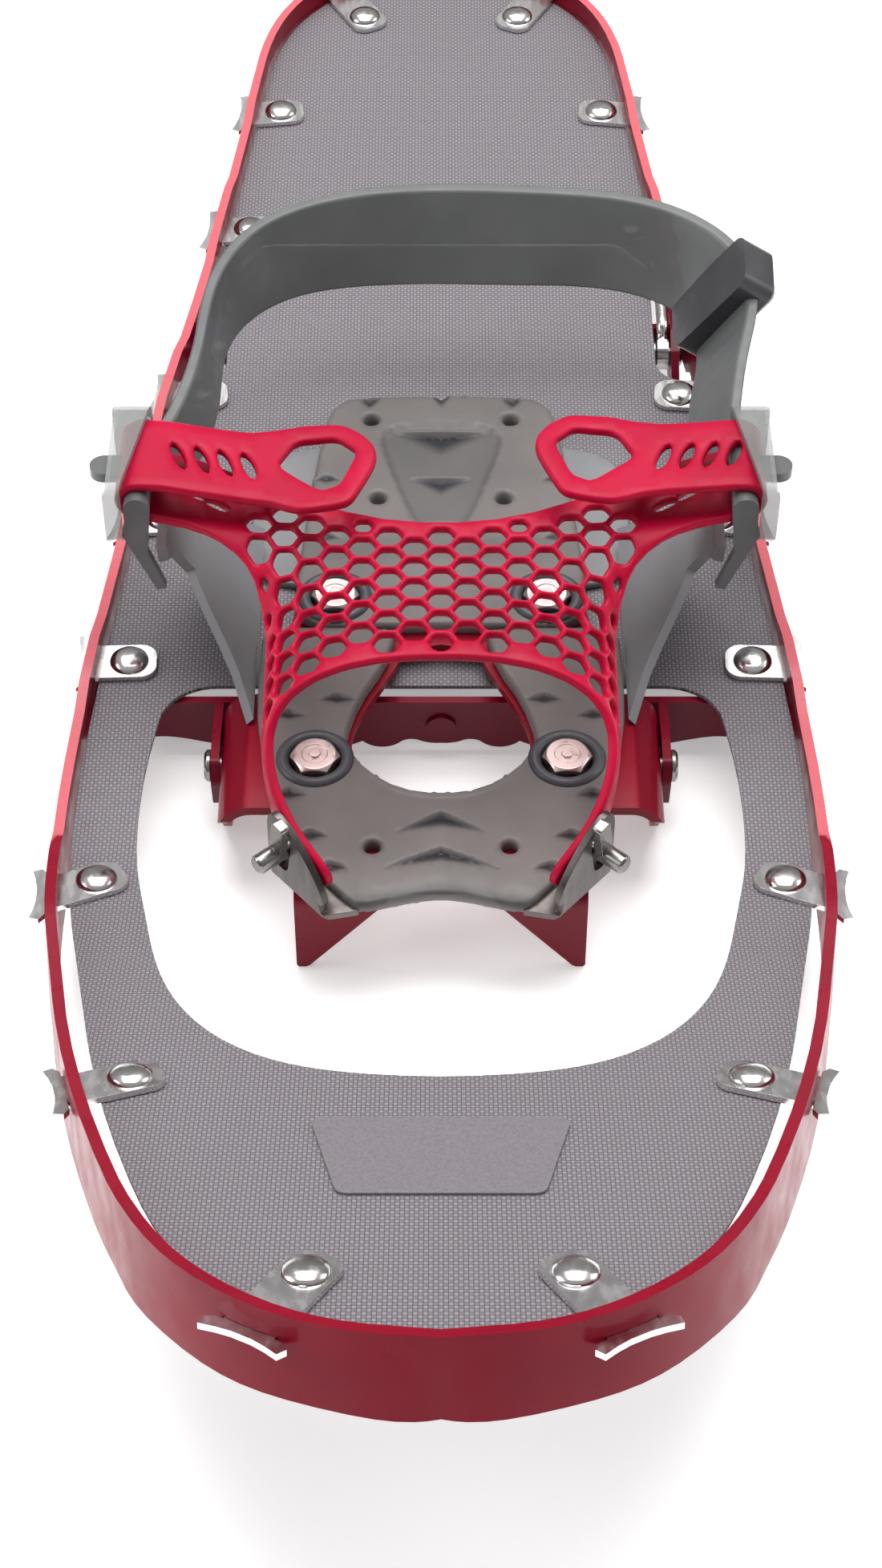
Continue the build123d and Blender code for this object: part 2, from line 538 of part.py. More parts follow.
# ---- forefoot net: arched panel, side walls, and two straps that double back to pull loops ----
NET_TOP = 74.5
POST = (80.0, 84.1)      # strap post's centre, across and up
POST_R = 3.5
WRAP_R = POST_R + 0.3 + STRAP_T / 2
STRAP_FRONT = -40.0
STRAP_REAR = -13.0
STRAP_MIDDLE = (STRAP_FRONT + STRAP_REAR) / 2
LOOP_START = (46.0, 86.1)    # where each pull loop begins, across and up
LOOP_END = (19.0, 87.9)
TONGUE_W = 7.6
TONGUE_T = 3.0
with BuildPart() as forefoot_net:
    with BuildSketch(Plane.XZ.offset(94)):
        with BuildLine():
            FilletPolyline((-44.5, 36), (-45, NET_TOP - 6.5), (-26, NET_TOP), (26, NET_TOP), (45, NET_TOP - 6.5),
                           (44.5, 36), radius=11)
        trace(line_width=STRAP_T)
    extrude(amount=-56)
    side_view = [(-95, 46), (-110, 36), (-95, 30), (-60, 30), (-60, 55), (-44, 60), (-32, 66), (-32, 80),
                 (-90, 80), (-95, 62)]
    slab(side_view, Plane.YZ, 60, both=True, mode=Mode.INTERSECT)
    with BuildSketch(Plane.XZ.offset(-STRAP_REAR)):
        with BuildLine():
            wrap_low = (POST[0], POST[1] - WRAP_R)
            wrap_high = (POST[0], POST[1] + WRAP_R)
            Polyline((22, NET_TOP), (60, NET_TOP + 1.6), wrap_low)
            ThreePointArc(wrap_low, (POST[0] + WRAP_R, POST[1]), wrap_high)
            Polyline(wrap_high, (68, POST[1] + 3.8), LOOP_START)
        trace(line_width=STRAP_T)
    extrude(amount=STRAP_REAR - STRAP_FRONT)
    inward = Vector(LOOP_END[0] - LOOP_START[0], 0, LOOP_END[1] - LOOP_START[1]).normalized()
    loop_plane = Plane((LOOP_START[0], STRAP_MIDDLE, LOOP_START[1]), x_dir=inward, z_dir=(inward.Z, 0, -inward.X))
    with BuildSketch(loop_plane.offset(-STRAP_T / 2)):
        with BuildLine():
            Polyline((-4, -13.5), (3, -17.5), (19, -17.5), (26.3, -8), (26.3, 8), (19, 17.5), (3, 17.5), (-4, 13.5),
                     close=True)
        make_face()
        with BuildLine():
            Polyline((3, -11.5), (16, -11.5), (21, -5), (21, 5), (16, 11.5), (3, 11.5), close=True)
        make_face(mode=Mode.SUBTRACT)
    extrude(amount=STRAP_T)
    with Locations((POST[0] + 6, STRAP_MIDDLE, POST[1])):
        Box(9, TONGUE_W + 1.2, TONGUE_T + 1.2, mode=Mode.SUBTRACT)
    mirror(about=Plane.YZ)
finish(forefoot_net, "forefoot_net")

# ---- side wings: panels that slope up from the pads, each with a steep arm under its strap post ----
WING_T = 3.0
WING_FOOT = (50.6, PAD_Z + 2.4)
PANEL_TURN = radians(42)
ARM_TURN = radians(72)
ARM_START = 23.0         # up the panel's slope
ARM_FOOT = (WING_FOOT[0] + ARM_START * cos(PANEL_TURN), WING_FOOT[1] + ARM_START * sin(PANEL_TURN))


def slope_plane(foot, turn):
    """Plane of a wall's inner face, which leans outward: x along the shoe, y up the wall."""
    return Plane((foot[0], 0, foot[1]), x_dir=(0, 1, 0), z_dir=(sin(turn), 0, -cos(turn)))


def on_arm(up, out):
    """Point across and up, at a distance up the arm and out from its inner face."""
    return (ARM_FOOT[0] + up * cos(ARM_TURN) + out * sin(ARM_TURN),
            ARM_FOOT[1] + up * sin(ARM_TURN) - out * cos(ARM_TURN))


with BuildPart() as side_wing_right:
    panel = [(-68, 0), (-53.7, 6), (-45.5, 11), (-36.7, 17.2), (-25.3, ARM_START + 1), (-5, ARM_START + 1),
             (4, 12), (8, 0)]
    slab(panel, slope_plane(WING_FOOT, PANEL_TURN), WING_T)
    arm = [(-25.3, -0.5), (-4, -0.5), (-3, 17), (-8, 20), (-36, 20), (-39, 17), (-31, 13)]
    slab(arm, slope_plane(ARM_FOOT, ARM_TURN), WING_T)
finish(side_wing_right, "side_wing_right")
with BuildPart() as side_wing_left:
    add(mirror(side_wing_right.part, about=Plane.YZ, mode=Mode.PRIVATE))
finish(side_wing_left, "side_wing_left")

# ---- strap posts: a bar inside each strap's wrap, two legs on the arm, and a tongue through the strap ----
LEG_T = 2.6
with BuildPart() as strap_post_right:
    for rear in (STRAP_REAR + 0.3 + LEG_T, STRAP_FRONT - 0.3):
        leg = [(POST[0] - POST_R, POST[1]), on_arm(24.5, WING_T), on_arm(11, WING_T), on_arm(11, WING_T + LEG_T),
               (POST[0] + POST_R + 1, POST[1] - 9), (POST[0] + POST_R, POST[1] - 4), (POST[0] + POST_R, POST[1])]
        slab(leg, Plane.XZ.offset(-rear), LEG_T)
    with BuildSketch(Plane.XZ.offset(-(STRAP_REAR + 0.3 + LEG_T))):
        with Locations(POST):
            Circle(POST_R)
    extrude(amount=STRAP_REAR - STRAP_FRONT + 2 * (0.3 + LEG_T))
    with BuildSketch(Plane.XY.offset(POST[1] - TONGUE_T / 2)):
        with Locations((POST[0] + 6.5, STRAP_MIDDLE)):
            SlotOverall(14, TONGUE_W)
    extrude(amount=TONGUE_T)
finish(strap_post_right, "strap_post_right")
with BuildPart() as strap_post_left:
    add(mirror(strap_post_right.part, about=Plane.YZ, mode=Mode.PRIVATE))
finish(strap_post_left, "strap_post_left")

# ---- strap keepers: a hood over each strap's fold, standing on the outer sides of the post's legs ----
KEEPER_IN = 76.0
KEEPER_W = 12.5
KEEPER_WALL = 1.8
KEEPER_FOOT = 73.0
KEEPER_TOP = POST[1] + WRAP_R + STRAP_T / 2 + 0.3 + KEEPER_WALL
with BuildPart() as strap_keeper_right:
    with BuildSketch(Plane.YZ.offset(KEEPER_IN)):
        hood_half = (STRAP_REAR - STRAP_FRONT) / 2 + 0.3 + LEG_T
        with Locations((STRAP_MIDDLE, (KEEPER_TOP + KEEPER_FOOT) / 2)):
            RectangleRounded(2 * (hood_half + KEEPER_WALL), KEEPER_TOP - KEEPER_FOOT, 4)
        with Locations((STRAP_MIDDLE, KEEPER_TOP - KEEPER_WALL - 20)):
            Rectangle(2 * hood_half, 40, mode=Mode.SUBTRACT)
    extrude(amount=KEEPER_W)
    slope = [(KEEPER_IN + KEEPER_W - 3, KEEPER_TOP + 1), (KEEPER_IN + KEEPER_W + 1, KEEPER_TOP + 1),
             (KEEPER_IN + KEEPER_W + 1, KEEPER_TOP - 3.5)]
    slab(slope, Plane.XZ, 60, both=True, mode=Mode.SUBTRACT)
    slab([(75, -52), (85.5, -52), (76.5, -2), (75, -2)], Plane.XY.offset(60), 40, mode=Mode.SUBTRACT)
finish(strap_keeper_right, "strap_keeper_right")
with BuildPart() as strap_keeper_left:
    add(mirror(strap_keeper_right.part, about=Plane.YZ, mode=Mode.PRIVATE))
finish(strap_keeper_left, "strap_keeper_left")

# ---- heel strap: from the outside of both arms round behind the heel, wider at its top ----
HEEL_STRAP_W = 3.4       # measured level; the strap leans, so it is thinner than this
STRAP_OUT = WING_T + 1.65
HEEL_LOW = Plane((0, -8, 50.0), x_dir=(1, 0, 0), z_dir=(0, -sin(radians(5.0)), cos(radians(5.0))))
HEEL_HIGH = Plane((0, -8, 68.6), x_dir=(1, 0, 0), z_dir=(0, -sin(radians(8.1)), cos(radians(8.1))))
LOW_RIGHT = [(73, 20), (72.5, 40), (76, 62), (73, 80), (56, 92), (26, 95.5), (0, 96)]
LOW_LEFT = [(-24, 95), (-48, 88), (-61, 74), (-65, 58), (-65.4, 42), (-68, 28), (-73, 9)]
HIGH_RIGHT = [(82, 20), (86, 44), (89.5, 62), (86, 83), (66, 101), (30, 108), (0, 109)]
HIGH_LEFT = [(-28, 106), (-54, 93), (-66, 70), (-68.5, 50), (-71, 34), (-75, 20), (-79.2, 8)]


def arm_out(height):
    """Distance across to the strap's middle where it lies on the arm, at a height."""
    up = (height - ARM_FOOT[1] + STRAP_OUT * cos(ARM_TURN)) / sin(ARM_TURN)
    return on_arm(up, STRAP_OUT)[0]


def strap_section(plane, right_side, left_side):
    """Level section of the heel strap, with its y measured back from the strap's front end."""
    height = plane.origin.Z
    with BuildSketch(plane) as section:
        with BuildLine():
            Spline((arm_out(height), 0), *right_side, *left_side, (-arm_out(height), 0))
        trace(line_width=HEEL_STRAP_W)
    return section.sketch


with BuildPart() as heel_strap:
    loft([strap_section(HEEL_LOW, LOW_RIGHT, LOW_LEFT), strap_section(HEEL_HIGH, HIGH_RIGHT, HIGH_LEFT)])
finish(heel_strap, "heel_strap")

# ---- heel buckle: a block round the strap on the outer side of the shoe ----
BUCKLE_AT = Plane((82.3, 66, 68.5), x_dir=(0.0, 0.99, 0.12), z_dir=(0.83, 0.03, -0.56))
with BuildPart() as heel_buckle:
    with BuildSketch(BUCKLE_AT.offset(-5.5)):
        RectangleRounded(20, 34, 4)
    extrude(amount=12)
    chamfer(heel_buckle.faces().sort_by(Axis(BUCKLE_AT.origin, BUCKLE_AT.z_dir))[-1].edges(), 1.5)
    add(heel_strap.part, mode=Mode.SUBTRACT)
finish(heel_buckle, "heel_buckle")

# ---- heel lifter: a wire bail on two pins in the rear brackets ----
EYE_T = 3.4
EYE_R = 5.0
LIFTER_WIRE = [
    (LIFTER_ARM_X, LIFTER_Y, LIFTER_Z), (LIFTER_ARM_X, LIFTER_Y + 4.5, 24.4), (LIFTER_ARM_X, 120, 25.5),
    (67, 134, 25.5), (57, 148, 25.5),
]
with BuildPart() as lifter_pins:
    eye_in = LIFTER_ARM_X - EYE_T / 2 - 0.3
    ear_out = LIFTER_EAR_X + BLADE_T / 2
    turned([(0, eye_in - 1.6), (3.4, eye_in - 1.6), (4.0, eye_in - 1.0), (4.0, eye_in), (LIFTER_PIN_R, eye_in),
            (LIFTER_PIN_R, ear_out), (4.0, ear_out), (3.6, ear_out + 1.3), (0, ear_out + 1.3)],
           Plane((0, LIFTER_Y, LIFTER_Z), x_dir=(0, 1, 0), z_dir=(1, 0, 0)))
    mirror(about=Plane.YZ)
finish(lifter_pins, "lifter_pins")
with BuildPart() as heel_lifter:
    with BuildLine() as wire:
        FilletPolyline(*LIFTER_WIRE, *[(-x, y, z) for x, y, z in reversed(LIFTER_WIRE)],
                       radius=[4, 16, 14, 7, 7, 14, 16, 4])
    with BuildSketch(Plane(wire.line @ 0, z_dir=wire.line % 0)):
        Circle(WIRE_R)
    sweep(path=wire.line)
    for side in (-1, 1):
        with BuildSketch(Plane.YZ.offset(side * LIFTER_ARM_X - EYE_T / 2)):
            with Locations((LIFTER_Y, LIFTER_Z)):
                Circle(EYE_R)
        extrude(amount=EYE_T)
    with Locations(Location((0, LIFTER_Y, LIFTER_Z), (0, 90, 0))):
        Cylinder(LIFTER_PIN_R + PIN_PLAY, 200, mode=Mode.SUBTRACT)
finish(heel_lifter, "heel_lifter")

# ---- toe patch: a blank reinforcing patch on the sloped deck ----
PATCH_T = 0.8
with BuildPart() as toe_patch:
    with BuildSketch(sheet_plane(0, -235, 0, DECK_T / 2)) as patch:
        with BuildLine():
            Polyline((-29.5, 0), (29.5, 0), (22.5, -31.5), (-22.5, -31.5), close=True)
        make_face()
        fillet(patch.vertices(), 3)
    extrude(amount=PATCH_T)
finish(toe_patch, "toe_patch")
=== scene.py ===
import math

import bmesh
import bpy
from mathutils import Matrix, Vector
from mathutils.geometry import delaunay_2d_cdt
from mathutils.kdtree import KDTree


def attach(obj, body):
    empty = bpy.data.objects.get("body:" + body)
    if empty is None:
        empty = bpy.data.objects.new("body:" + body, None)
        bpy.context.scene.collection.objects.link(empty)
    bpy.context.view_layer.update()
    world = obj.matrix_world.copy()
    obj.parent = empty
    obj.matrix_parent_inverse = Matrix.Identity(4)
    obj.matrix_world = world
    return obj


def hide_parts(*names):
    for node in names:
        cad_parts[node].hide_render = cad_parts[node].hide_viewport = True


# Looks of the snowshoe. Lengths in this file are millimetres in the CAD's frame, times MM for Blender.
MM = 0.001

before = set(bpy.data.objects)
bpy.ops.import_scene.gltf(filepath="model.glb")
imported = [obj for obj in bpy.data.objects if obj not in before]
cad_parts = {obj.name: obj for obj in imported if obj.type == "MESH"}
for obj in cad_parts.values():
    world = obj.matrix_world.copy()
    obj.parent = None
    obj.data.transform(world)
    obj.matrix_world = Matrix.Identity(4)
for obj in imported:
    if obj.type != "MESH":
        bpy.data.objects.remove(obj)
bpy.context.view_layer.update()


# ---- camera, lights and floor ----
CAMERA_PLACE = (0.0, -609.0, 593.0)
CAMERA_DOWN = 47.37      # degrees below level
CAMERA_LENS = 66.3       # on a sensor 36 mm high


def make_camera():
    data = bpy.data.cameras.new("camera")
    data.sensor_fit = "VERTICAL"
    data.sensor_height = 36.0
    data.lens = CAMERA_LENS
    data.clip_start = 0.01
    camera = bpy.data.objects.new("camera", data)
    camera.location = Vector(CAMERA_PLACE) * MM
    camera.rotation_euler = (math.radians(90 - CAMERA_DOWN), 0, 0)
    bpy.context.collection.objects.link(camera)
    bpy.context.scene.camera = camera


def add_light(name, place, target, size, power):
    """Square soft light that faces a target."""
    data = bpy.data.lights.new(name, "AREA")
    data.size = size
    data.energy = power
    light = bpy.data.objects.new(name, data)
    light.location = place
    light.rotation_euler = (Vector(target) - Vector(place)).to_track_quat("-Z", "Y").to_euler()
    bpy.context.collection.objects.link(light)


def make_lights():
    add_light("top_light", (0.0, 0.5, 1.7), (0, 0, 0), 1.5, 44)
    add_light("left_light", (-1.5, -0.2, 0.9), (0, 0, 0), 0.9, 11)
    add_light("right_light", (1.5, 0.3, 0.9), (0, 0, 0), 0.9, 8)
    world = bpy.data.worlds.new("studio")
    world.use_nodes = True
    nodes = world.node_tree.nodes
    links = world.node_tree.links
    place = nodes.new("ShaderNodeTexCoord")
    height = nodes.new("ShaderNodeSeparateXYZ")
    ramp = nodes.new("ShaderNodeMapRange")
    ramp.inputs["From Min"].default_value = -0.2
    ramp.inputs["From Max"].default_value = 0.9
    ramp.inputs["To Min"].default_value = 0.16
    ramp.inputs["To Max"].default_value = 0.55
    links.new(place.outputs["Generated"], height.inputs[0])
    links.new(height.outputs["Z"], ramp.inputs["Value"])
    links.new(ramp.outputs["Result"], nodes["Background"].inputs["Strength"])
    nodes["Background"].inputs["Color"].default_value = (1, 1, 1, 1)
    bpy.context.scene.world = world
    bpy.context.scene.view_settings.view_transform = "Standard"


# ---- materials ----
def colour(red, green, blue):
    """Linear colour from the usual 0 to 255 numbers."""
    def channel(value):
        value /= 255
        return value / 12.92 if value <= 0.04045 else ((value + 0.055) / 1.055) ** 2.4
    return (channel(red), channel(green), channel(blue), 1.0)


class Shader:
    """A material with its Principled surface, and short ways to add nodes to it."""

    def __init__(self, name, **inputs):
        self.material = bpy.data.materials.new(name)
        self.material.use_nodes = True
        self.nodes = self.material.node_tree.nodes
        self.surface = self.nodes["Principled BSDF"]
        self.fill(self.surface, inputs)
        self.place = self.nodes.new("ShaderNodeTexCoord")

    def feed(self, socket, value):
        """Link another socket to this one, or set its value."""
        if isinstance(value, bpy.types.NodeSocket):
            self.material.node_tree.links.new(value, socket)
        else:
            socket.default_value = value

    def fill(self, node, inputs):
        for label, value in inputs.items():
            self.feed(node.inputs[label if label in node.inputs else label.replace("_", " ")], value)
        return node

    def add(self, kind, **inputs):
        return self.fill(self.nodes.new(kind), inputs)

    def set(self, **inputs):
        self.fill(self.surface, inputs)

    def math(self, operation, *values):
        node = self.nodes.new("ShaderNodeMath")
        node.operation = operation
        for socket, value in zip(node.inputs, values):
            self.feed(socket, value)
        return node.outputs[0]

    def noise(self, scale, detail=2.0, stretch=(1, 1, 1)):
        """Noise over the object, with its scale per metre."""
        mapping = self.add("ShaderNodeMapping", Vector=self.place.outputs["Object"], Scale=stretch)
        noise = self.add("ShaderNodeTexNoise", Vector=mapping.outputs[0], Scale=scale, Detail=detail)
        return noise.outputs[0]

    def spread(self, value, low, high, to_low, to_high):
        node = self.add("ShaderNodeMapRange", Value=value)
        ends = {"From Min": low, "From Max": high, "To Min": to_low, "To Max": to_high}
        for label, number in ends.items():
            node.inputs[label].default_value = number
        return node.outputs["Result"]

    def mix(self, share, first, second):
        node = self.nodes.new("ShaderNodeMix")
        node.data_type = "RGBA"
        self.feed(node.inputs[0], share)
        self.feed(node.inputs[6], first)
        self.feed(node.inputs[7], second)
        return node.outputs[2]

    def bump(self, height, strength, depth):
        """Bump of a depth in millimetres."""
        node = self.add("ShaderNodeBump", Height=height, Strength=strength, Distance=depth * MM)
        self.set(Normal=node.outputs[0])


WEAVE_PITCH = 1.03    # from one thread to the next


def weave_material():
    """Plain weave of round grey threads, each over one and under one, with painted shade in the gaps between
    threads.
    """
    shader = Shader("deck_weave", Roughness=0.55)
    axes = shader.add("ShaderNodeSeparateXYZ", Vector=shader.place.outputs["Object"])
    turns = math.pi / (WEAVE_PITCH * MM)
    across = shader.math("COSINE", shader.math("MULTIPLY", axes.outputs["X"], turns))
    along = shader.math("COSINE", shader.math("MULTIPLY", axes.outputs["Y"], turns))
    over = shader.math("MULTIPLY", across, along)
    height = shader.math("ABSOLUTE", over)
    crown = shader.spread(over, -0.6, 0.6, 0, 1)
    threads = shader.mix(crown, colour(108, 103, 108), colour(134, 129, 134))
    # painted shade: darker colour in the gaps between threads
    with_gap_shade = shader.mix(shader.spread(height, 0.03, 0.4, 0, 1), colour(66, 61, 66), threads)
    broad = shader.spread(shader.noise(9, 3), 0.3, 0.7, 0.0, 0.16)
    shader.set(Base_Color=shader.mix(broad, with_gap_shade, colour(92, 88, 92)))
    shader.set(Roughness=shader.spread(shader.noise(300), 0.3, 0.7, 0.5, 0.68))
    shader.bump(height, 0.5, 0.12)
    return shader.material


def paint_material(name, deep, light, highlight_share, gloss):
    """Clear-coated crimson with fine dark specks, and a painted highlight of the light colour on
    upward-facing faces; the rest is saturated.
    """
    shader = Shader(name, Specular_IOR_Level=0.12, Coat_Weight=gloss, Coat_Roughness=0.08)
    facing = shader.add("ShaderNodeSeparateXYZ", Vector=shader.place.outputs["Normal"]).outputs["Z"]
    # painted highlight: faces that point upward are mixed towards the paler light colour
    top_highlight = shader.math("MULTIPLY", shader.spread(facing, 0.975, 0.99, 0, 1), highlight_share)
    specks = shader.spread(shader.noise(2600, 1), 0.66, 0.72, 0, 0.55)
    tone = shader.spread(shader.noise(45, 3), 0.3, 0.7, 0, 0.35)
    body = shader.mix(tone, deep, colour(96, 0, 24))
    base = shader.mix(top_highlight, body, light)
    shader.set(Base_Color=shader.mix(specks, base, colour(86, 4, 22)))
    shader.set(Roughness=shader.spread(shader.noise(120, 2), 0.3, 0.7, 0.26, 0.42))
    shader.bump(shader.noise(900, 2), 0.12, 0.05)
    return shader.material


def steel_material(name, tint, rough, grain):
    """Steel with fine brushed grain and small stains."""
    shader = Shader(name, Metallic=1.0)
    lines = shader.noise(420, 2, grain)
    stains = shader.spread(shader.noise(60, 4), 0.45, 0.75, 0, 0.35)
    shader.set(Base_Color=shader.mix(stains, tint, colour(140, 132, 130)))
    shader.set(Roughness=shader.spread(lines, 0.3, 0.7, rough - 0.07, rough + 0.09))
    shader.bump(lines, 0.06, 0.02)
    return shader.material


def rubber_material(name, main, shade, alpha, rough=0.42):
    """Smoky moulded TPU: a little see-through, with painted shade in its hollows, and with clouds and flow
    marks.
    """
    shader = Shader(name, Specular_IOR_Level=0.4)
    painted_hollow_shade = shader.nodes.new("ShaderNodeAttribute")
    painted_hollow_shade.attribute_name = "painted_hollow_shade"
    clouds = shader.spread(shader.noise(38, 4), 0.3, 0.7, 0, 1)
    streaks = shader.spread(shader.noise(55, 3, (1, 0.25, 1)), 0.4, 0.8, 0, 0.3)
    cloudy = shader.mix(streaks, shader.mix(clouds, main, shade), colour(96, 94, 92))
    # painted shade: the mesh's hollow-shade attribute darkens the colour in sunk facets and recesses
    shader.set(Base_Color=shader.mix(painted_hollow_shade.outputs["Fac"], cloudy, colour(38, 40, 46)))
    shader.set(Roughness=shader.spread(shader.noise(260, 2), 0.3, 0.7, rough - 0.06, rough + 0.1))
    shader.set(Alpha=shader.spread(clouds, 0, 1, alpha, alpha + 0.05))
    shader.bump(shader.noise(1500, 2), 0.15, 0.04)
    return shader.material


def net_material():
    """Saturated red TPU: soft, slightly glossy, with paler scuffs."""
    shader = Shader("net_red", Subsurface_Weight=0.2, Subsurface_Scale=0.003, Specular_IOR_Level=0.16)
    shader.surface.inputs["Subsurface Radius"].default_value = (1.0, 0.12, 0.12)
    clouds = shader.spread(shader.noise(42, 4), 0.3, 0.7, 0, 1)
    scuffs = shader.spread(shader.noise(140, 5, (1, 0.4, 1)), 0.62, 0.8, 0, 0.5)
    base = shader.mix(clouds, colour(176, 0, 50), colour(156, 0, 42))
    shader.set(Base_Color=shader.mix(scuffs, base, colour(186, 30, 62)))
    shader.set(Roughness=shader.spread(shader.noise(210, 3), 0.3, 0.7, 0.34, 0.52))
    shader.bump(shader.noise(1200, 2), 0.15, 0.05)
    return shader.material


def patch_material():
    """Plain patch, close to the deck's grey, with a fine cloth grain."""
    shader = Shader("patch_dark", Roughness=0.6)
    cloth = shader.spread(shader.noise(1500, 2), 0.3, 0.7, 0, 1)
    shader.set(Base_Color=shader.mix(cloth, colour(98, 93, 98), colour(116, 111, 116)))
    shader.bump(cloth, 0.3, 0.08)
    return shader.material


def floor_material():
    """Plain white, faintly uneven, and lit a little from within."""
    shader = Shader("floor_white", Roughness=0.9)
    faint = shader.spread(shader.noise(3, 2), 0.3, 0.7, 0, 1)
    white = shader.mix(faint, colour(250, 250, 250), colour(253, 253, 253))
    shader.set(Base_Color=white, Emission_Color=white, Emission_Strength=0.34)
    return shader.material


FLOOR_HALF = 4.0        # metres
FLOOR_LEVEL = -0.0005   # metres, just under the shoe


def make_floor():
    mesh = bpy.data.meshes.new("floor")
    corners = ((-1, -1), (1, -1), (1, 1), (-1, 1))
    mesh.from_pydata([(x * FLOOR_HALF, y * FLOOR_HALF, FLOOR_LEVEL) for x, y in corners], [], [(0, 1, 2, 3)])
    floor = bpy.data.objects.new("floor", mesh)
    mesh.materials.append(floor_material())
    bpy.context.collection.objects.link(floor)


MATERIALS = {
    "deck": weave_material(),
    # In each paint, the second colour is its painted highlight on upward-facing faces, and the number after
    # it is its share.
    "frame": paint_material("frame_red", colour(128, 0, 30), colour(206, 104, 112), 0.8, 0.14),
    "bar": paint_material("crossbar_red", colour(92, 0, 28), colour(136, 16, 40), 0.5, 0.1),
    "crampon": paint_material("crampon_red", colour(110, 0, 24), colour(156, 24, 44), 0.5, 0.12),
    "clip": steel_material("clip_steel", colour(228, 226, 226), 0.24, (1, 0.2, 1)),
    "rivet": steel_material("rivet_steel", colour(196, 194, 193), 0.2, (1, 1, 1)),
    "bracket": steel_material("bracket_steel", colour(78, 74, 72), 0.34, (1, 1, 0.12)),
    "pin": steel_material("pin_steel", colour(136, 133, 131), 0.24, (1, 1, 1)),
    "bolt": steel_material("bolt_steel", colour(206, 186, 183), 0.32, (1, 1, 1)),
    "wire": steel_material("lifter_wire", colour(206, 204, 202), 0.2, (0.3, 1, 1)),
    "pad": rubber_material("pad_grey", colour(118, 111, 109), colour(98, 93, 92), 0.76),
    "wing": rubber_material("wing_grey", colour(132, 132, 134), colour(112, 113, 116), 0.86),
    "strap": rubber_material("strap_grey", colour(96, 98, 98), colour(80, 82, 83), 0.88, 0.34),
    "keeper": rubber_material("keeper_grey", colour(136, 139, 137), colour(118, 121, 119), 0.5, 0.3),
    "buckle": rubber_material("buckle_dark", colour(62, 62, 66), colour(50, 50, 54), 0.95, 0.36),
    "ring": rubber_material("ring_dark", colour(70, 70, 76), colour(58, 58, 64), 0.9, 0.36),
    "net": net_material(),
    "patch": patch_material(),
}


# ---- mesh helpers ----
def make_piece(name, mesh, body, material, nodes):
    """Make an object of a mesh: its body, its finish, and the CAD nodes that it stands for."""
    mesh.materials.clear()
    mesh.materials.append(MATERIALS[material])
    piece = bpy.data.objects.new(name, mesh)
    bpy.context.collection.objects.link(piece)
    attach(piece, body)
    if nodes:
        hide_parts(*nodes)
    return piece


def weigh_normals(piece):
    """Keep flat faces flat beside their rounded edges."""
    modifier = piece.modifiers.new("weighted", "WEIGHTED_NORMAL")
    modifier.keep_sharp = True


BEVEL_FROM = math.radians(38)     # edges this sharp are rounded
SHARP_FROM = math.radians(48)     # edges this sharp stay sharp in the shading


def rounded(node, body, slot, material, width):
    """Stand for a CAD node with a copy whose edges are rounded."""
    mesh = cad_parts[node].data.copy()
    work = bmesh.new()
    work.from_mesh(mesh)
    bmesh.ops.remove_doubles(work, verts=work.verts, dist=2e-6)
    bmesh.ops.dissolve_limit(work, angle_limit=math.radians(1), verts=work.verts, edges=work.edges)
    edges = [edge for edge in work.edges if edge.calc_face_angle(0) > BEVEL_FROM]
    if width:
        bmesh.ops.bevel(work, geom=edges, offset=width * MM, offset_type="OFFSET", segments=2,
                        profile=0.5, affect="EDGES", clamp_overlap=True)
    work.to_mesh(mesh)
    work.free()
    mesh.shade_smooth()
    mesh.set_sharp_from_angle(angle=SHARP_FROM)
    piece = make_piece(node + "_skin", mesh, body, material, [node])
    weigh_normals(piece)
    return piece


def resample(loop, spacing):
    """Points of a closed polygon with long sides divided."""
    points = []
    for start, end in zip(loop, loop[1:] + loop[:1]):
        start = Vector(start)
        end = Vector(end)
        count = max(1, round((end - start).length / spacing))
        points += [start.lerp(end, step / count) for step in range(count)]
    return points


def smooth_loop(loop, rounds, share=0.25):
    """Round a closed polygon's corners by cutting them at a share of each side."""
    points = [Vector(point) for point in loop]
    for _ in range(rounds):
        cut = []
        for start, end in zip(points, points[1:] + points[:1]):
            cut += [start.lerp(end, share), start.lerp(end, 1 - share)]
        points = cut
    return points


def crisp(line, reach):
    """Repeat an open line's corners at a short reach to both sides, so that smoothing rounds them little."""
    points = [Vector(point) for point in line]
    made = [points[0]]
    for before, point, after in zip(points, points[1:], points[2:]):
        for run in (before - point, after - point):
            made.append(point + run.normalized() * min(reach, run.length * 0.4))
    return [tuple(point) for point in made + [points[-1]]]


def inset(loop, distance):
    """Move a closed counter-clockwise polygon's points to its inside."""
    moved = []
    for before, point, after in zip(loop[-1:] + loop[:-1], loop, loop[1:] + loop[:1]):
        run = (after - before).normalized()
        moved.append(point + Vector((-run.y, run.x)) * distance)
    return moved


def area_of(loop):
    return sum(a.x * b.y - b.x * a.y for a, b in zip(loop, loop[1:] + loop[:1])) / 2


RIM_STEPS = ((0.0, 0.42), (0.3, 0.8), (1.0, 1.0))    # share of the rim's width, and of the thickness


